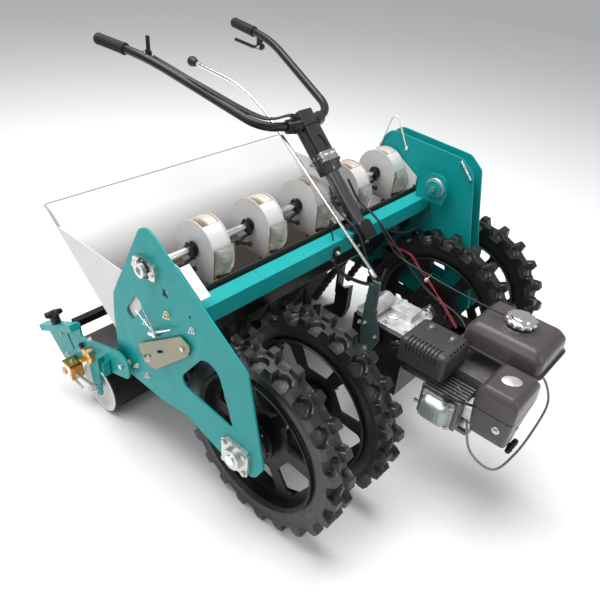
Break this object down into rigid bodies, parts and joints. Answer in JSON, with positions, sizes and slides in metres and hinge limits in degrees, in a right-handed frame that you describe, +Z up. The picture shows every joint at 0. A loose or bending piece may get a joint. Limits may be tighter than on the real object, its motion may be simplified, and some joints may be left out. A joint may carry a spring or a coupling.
{
  "type": "walk-behind seeder",
  "caption": "Petrol walk-behind row seeder: lugged drive wheels, front engine, seed metering shaft over a wide trough hopper, rear press roller and twin handlebars.",
  "frame": {"origin": "on the ground under the wheel axle, in the middle of the drive unit", "axes": "+Z up, +Y to the rear (hopper, roller and operator), -Y to the engine, X along the wheel axle"},
  "size_m": [1.2858, 1.5149, 1.082],
  "materials": {
    "teal_paint": "satin",
    "white_sheet": "satin",
    "galvanised": "satin",
    "chrome_steel": "polished",
    "zinc_steel": "satin",
    "yellow_zinc": "satin",
    "black_paint": "satin",
    "wheel_black": "satin",
    "tyre_rubber": "matt",
    "cast_aluminium": "satin",
    "engine_black": "satin",
    "dark_plastic": "satin",
    "clear_plastic": "gloss",
    "seed_wheel_plastic": "satin",
    "hose_rubber": "matt",
    "grip_rubber": "matt",
    "cable_sheath": "matt"
  },
  "bodies": {
    "frame": {"right_side_plate": "teal_paint", "left_inner_side_plate": "teal_paint", "left_outer_side_plate": "teal_paint", "front_crossbeam": "teal_paint", "rear_toolbar": "black_paint", "seed_hopper": "white_sheet", "metering_housings": "galvanised", "seed_chamber_covers": "clear_plastic", "seed_drop_tubes": "hose_rubber", "furrow_openers": "black_paint", "flanged_bearings": "zinc_steel", "countershaft_bracket": "teal_paint", "gearbox_case": "engine_black", "gearbox_cover": "cast_aluminium", "engine_block": "cast_aluminium", "valve_cover": "zinc_steel", "muffler": "zinc_steel", "muffler_shield": "engine_black", "air_cleaner": "dark_plastic", "carburettor": "cast_aluminium", "fuel_tank": "dark_plastic", "recoil_starter_cover": "engine_black", "lower_handle_column": "black_paint", "frame_bolts_and_spacers": "zinc_steel", "control_cables": "cable_sheath", "drive_chains": "zinc_steel", "tensioner_springs": "black_paint"},
    "drive_axle_set": {"drive_axle": "zinc_steel", "axle_sprocket": "black_paint", "final_drive_gear": "zinc_steel", "right_outer_wheel_disc": "wheel_black", "right_inner_wheel_disc": "wheel_black", "left_inner_wheel_disc": "wheel_black", "left_outer_wheel_disc": "wheel_black", "right_outer_tyre": "tyre_rubber", "right_inner_tyre": "tyre_rubber", "left_inner_tyre": "tyre_rubber", "left_outer_tyre": "tyre_rubber"},
    "metering_shaft_set": {"metering_shaft": "chrome_steel", "seed_wheels": "seed_wheel_plastic", "shaft_lock_collars": "black_paint", "metering_sprocket": "black_paint"},
    "countershaft_set": {"countershaft": "zinc_steel"},
    "crankshaft_set": {"crankshaft": "zinc_steel"},
    "roller_frame": {"roller_arms": "teal_paint", "roller_crossbar": "black_paint", "roller_guard": "black_paint"},
    "press_roller_set": {"press_roller": "black_paint"},
    "star_knob": {"depth_star_knob": "dark_plastic"},
    "handle": {"upper_handle_column": "black_paint", "handlebars": "black_paint", "handle_grips": "grip_rubber"},
    "clamp_knob": {"column_clamp_knob": "dark_plastic"},
    "gear_rod": {"gear_lever": "zinc_steel"},
    "shift_arm": {"gearbox_shift_arm": "black_paint"},
    "clutch": {"clutch_lever": "black_paint"},
    "throttle": {"throttle_lever": "dark_plastic"},
    "filler_cap": {"fuel_cap": "chrome_steel"},
    "pull_start": {"recoil_handle": "dark_plastic"},
    "depth_plate": {"depth_lever": "yellow_zinc"}
  },
  "joints": [
    {"name": "axle_spin", "type": "hinge", "parent": "frame", "child": "drive_axle_set", "pos_m": [0, 0, 0.28], "axis": [1, 0, 0], "continuous": true},
    {"name": "countershaft_spin", "type": "hinge", "parent": "frame", "child": "countershaft_set", "pos_m": [0.4, 0.11, 0.695], "axis": [1, 0, 0], "continuous": true},
    {"name": "metering_spin", "type": "hinge", "parent": "frame", "child": "metering_shaft_set", "pos_m": [0, 0.33, 0.684], "axis": [1, 0, 0], "continuous": true},
    {"name": "crank_spin", "type": "hinge", "parent": "frame", "child": "crankshaft_set", "pos_m": [0, -0.3, 0.331], "axis": [0, 1, 0], "continuous": true},
    {"name": "roller_frame_swing", "type": "hinge", "parent": "frame", "child": "roller_frame", "pos_m": [0, 0.466, 0.292], "axis": [1, 0, 0], "range_deg": [-10, 0]},
    {"name": "press_roller_spin", "type": "hinge", "parent": "roller_frame", "child": "press_roller_set", "pos_m": [0, 0.635, 0.09], "axis": [1, 0, 0], "continuous": true},
    {"name": "star_knob_turn", "type": "hinge", "parent": "roller_frame", "child": "star_knob", "pos_m": [-0.664, 0.808, 0.262], "axis": [0, 0.4741, 0.8805], "range_deg": [-180, 180]},
    {"name": "handle_slide", "type": "slide", "parent": "frame", "child": "handle", "axis": [0, 0.7119, 0.7023], "range_m": [-0.04, 0.04]},
    {"name": "clamp_knob_turn", "type": "hinge", "parent": "handle", "child": "clamp_knob", "pos_m": [0.03, 0.3021, 0.80764], "axis": [1, 0, 0], "range_deg": [-180, 180]},
    {"name": "gear_lever_slide", "type": "slide", "parent": "frame", "child": "gear_rod", "axis": [0, 0.8091, 0.5876], "range_m": [-0.02, 0.02]},
    {"name": "shift_arm_swing", "type": "hinge", "parent": "frame", "child": "shift_arm", "pos_m": [-0.088, 0.006, 0.33], "axis": [1, 0, 0], "range_deg": [-5, 5]},
    {"name": "clutch_lever_squeeze", "type": "hinge", "parent": "handle", "child": "clutch", "pos_m": [0.268, 0.852, 0.994], "axis": [1, 0, 0], "range_deg": [0, 7]},
    {"name": "throttle_turn", "type": "hinge", "parent": "handle", "child": "throttle", "pos_m": [-0.228, 0.83, 1.034], "axis": [1, 0, 0], "range_deg": [-50, 0]},
    {"name": "fuel_cap_turn", "type": "hinge", "parent": "frame", "child": "filler_cap", "pos_m": [0.062, -0.365, 0.563], "axis": [0, 0, 1], "range_deg": [0, 90]},
    {"name": "recoil_pull", "type": "slide", "parent": "frame", "child": "pull_start", "axis": [0, -1, 0], "range_m": [0, 0.45]},
    {"name": "depth_lever_swing", "type": "hinge", "parent": "frame", "child": "depth_plate", "pos_m": [-0.632, 0.19, 0.518], "axis": [1, 0, 0], "range_deg": [-4, 4]}
  ],
  "couplings": [
    {"joint": "countershaft_spin", "follows": "axle_spin", "ratio": 1.5556},
    {"joint": "metering_spin", "follows": "axle_spin", "ratio": 1.1667},
    {"joint": "shift_arm_swing", "follows": "gear_lever_slide", "rad_per_m": -3.58}
  ]
}
